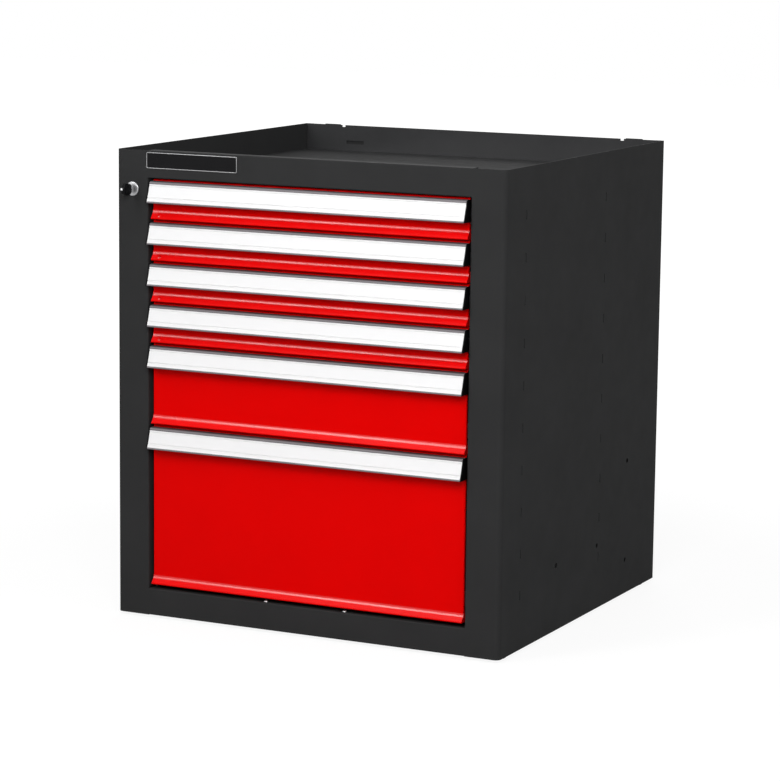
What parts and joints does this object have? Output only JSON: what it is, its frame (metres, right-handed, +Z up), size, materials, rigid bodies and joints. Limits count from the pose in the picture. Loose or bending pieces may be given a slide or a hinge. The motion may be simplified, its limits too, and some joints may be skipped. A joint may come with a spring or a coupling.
{
  "type": "drawer base cabinet",
  "caption": "Steel base cabinet with full-width drawers on full-extension runners, flared handles, an open recess on top and a key lock for all drawers.",
  "frame": {"origin": "middle of the bounding box's bottom face: floor level, halfway across, and halfway from the key's tip to the back", "axes": "+X to the right and -Y out of the drawer fronts as one faces them, +Z up"},
  "size_m": [0.722, 0.728, 0.8062],
  "materials": {
    "casing": "fine satin powder coat, anthracite",
    "drawer_grey": "satin powder coat, dark grey",
    "front_red": "satin powder coat, signal red",
    "handle_alu": "satin anodised",
    "cap_black": "moulded, matt black",
    "foot_black": "moulded, matt black",
    "key_black": "moulded, matt black",
    "runner_steel": "zinc plated, drawn",
    "screw_zinc": "bright zinc plated",
    "lock_chrome": "polished",
    "badge": "bare plate, grey with a paler rim"
  },
  "bodies": {
    "cabinet": {"side_panel_left": "casing", "side_panel_right": "casing", "back_panel": "casing", "base_pan": "casing", "top_tray": "casing", "top_rail": "casing", "bottom_rail": "casing", "runner_posts": "runner_steel", "feet": "foot_black", "badge_plate": "badge", "lock_housing": "lock_chrome", "lock_bar_guides": "runner_steel", "rail_screws": "screw_zinc", "slide_1_outer": "runner_steel", "slide_2_outer": "runner_steel", "slide_3_outer": "runner_steel", "slide_4_outer": "runner_steel", "slide_5_outer": "runner_steel", "slide_6_outer": "runner_steel"},
    "runner_1": {"slide_1_middle": "runner_steel"},
    "drawer_1": {"drawer_1_box": "drawer_grey", "drawer_1_front": "front_red", "drawer_1_handle": "handle_alu", "drawer_1_end_caps": "cap_black", "slide_1_inner": "runner_steel"},
    "runner_2": {"slide_2_middle": "runner_steel"},
    "drawer_2": {"drawer_2_box": "drawer_grey", "drawer_2_front": "front_red", "drawer_2_handle": "handle_alu", "drawer_2_end_caps": "cap_black", "slide_2_inner": "runner_steel"},
    "runner_3": {"slide_3_middle": "runner_steel"},
    "drawer_3": {"drawer_3_box": "drawer_grey", "drawer_3_front": "front_red", "drawer_3_handle": "handle_alu", "drawer_3_end_caps": "cap_black", "slide_3_inner": "runner_steel"},
    "runner_4": {"slide_4_middle": "runner_steel"},
    "drawer_4": {"drawer_4_box": "drawer_grey", "drawer_4_front": "front_red", "drawer_4_handle": "handle_alu", "drawer_4_end_caps": "cap_black", "slide_4_inner": "runner_steel"},
    "runner_5": {"slide_5_middle": "runner_steel"},
    "drawer_5": {"drawer_5_box": "drawer_grey", "drawer_5_front": "front_red", "drawer_5_handle": "handle_alu", "drawer_5_end_caps": "cap_black", "slide_5_inner": "runner_steel"},
    "runner_6": {"slide_6_middle": "runner_steel"},
    "drawer_6": {"drawer_6_box": "drawer_grey", "drawer_6_front": "front_red", "drawer_6_handle": "handle_alu", "drawer_6_end_caps": "cap_black", "slide_6_inner": "runner_steel"},
    "lock_rotor": {"lock_plug": "lock_chrome", "lock_key": "key_black", "lock_cam": "runner_steel"},
    "lock_lift": {"lock_bar": "runner_steel", "lock_hooks": "runner_steel"}
  },
  "joints": [
    {"name": "drawer_1_slide", "type": "slide", "parent": "cabinet", "child": "drawer_1", "axis": [0, -1, 0], "range_m": [0, 0.6]},
    {"name": "runner_1_slide", "type": "slide", "parent": "cabinet", "child": "runner_1", "axis": [0, -1, 0], "range_m": [0, 0.3]},
    {"name": "drawer_2_slide", "type": "slide", "parent": "cabinet", "child": "drawer_2", "axis": [0, -1, 0], "range_m": [0, 0.6]},
    {"name": "runner_2_slide", "type": "slide", "parent": "cabinet", "child": "runner_2", "axis": [0, -1, 0], "range_m": [0, 0.3]},
    {"name": "drawer_3_slide", "type": "slide", "parent": "cabinet", "child": "drawer_3", "axis": [0, -1, 0], "range_m": [0, 0.6]},
    {"name": "runner_3_slide", "type": "slide", "parent": "cabinet", "child": "runner_3", "axis": [0, -1, 0], "range_m": [0, 0.3]},
    {"name": "drawer_4_slide", "type": "slide", "parent": "cabinet", "child": "drawer_4", "axis": [0, -1, 0], "range_m": [0, 0.6]},
    {"name": "runner_4_slide", "type": "slide", "parent": "cabinet", "child": "runner_4", "axis": [0, -1, 0], "range_m": [0, 0.3]},
    {"name": "drawer_5_slide", "type": "slide", "parent": "cabinet", "child": "drawer_5", "axis": [0, -1, 0], "range_m": [0, 0.6]},
    {"name": "runner_5_slide", "type": "slide", "parent": "cabinet", "child": "runner_5", "axis": [0, -1, 0], "range_m": [0, 0.3]},
    {"name": "drawer_6_slide", "type": "slide", "parent": "cabinet", "child": "drawer_6", "axis": [0, -1, 0], "range_m": [0, 0.6]},
    {"name": "runner_6_slide", "type": "slide", "parent": "cabinet", "child": "runner_6", "axis": [0, -1, 0], "range_m": [0, 0.3]},
    {"name": "key_turn", "type": "hinge", "parent": "cabinet", "child": "lock_rotor", "pos_m": [-0.3289, -0.326, 0.7393], "axis": [0, -1, 0], "range_deg": [0, 90]},
    {"name": "lock_bar_lift", "type": "slide", "parent": "cabinet", "child": "lock_lift", "axis": [0, 0, 1], "range_m": [0, 0.01202]}
  ],
  "couplings": [
    {"joint": "runner_1_slide", "follows": "drawer_1_slide", "ratio": 0.5},
    {"joint": "runner_2_slide", "follows": "drawer_2_slide", "ratio": 0.5},
    {"joint": "runner_3_slide", "follows": "drawer_3_slide", "ratio": 0.5},
    {"joint": "runner_4_slide", "follows": "drawer_4_slide", "ratio": 0.5},
    {"joint": "runner_5_slide", "follows": "drawer_5_slide", "ratio": 0.5},
    {"joint": "runner_6_slide", "follows": "drawer_6_slide", "ratio": 0.5},
    {"joint": "key_turn", "follows": "lock_bar_lift", "rad_per_m": 130.67}
  ]
}
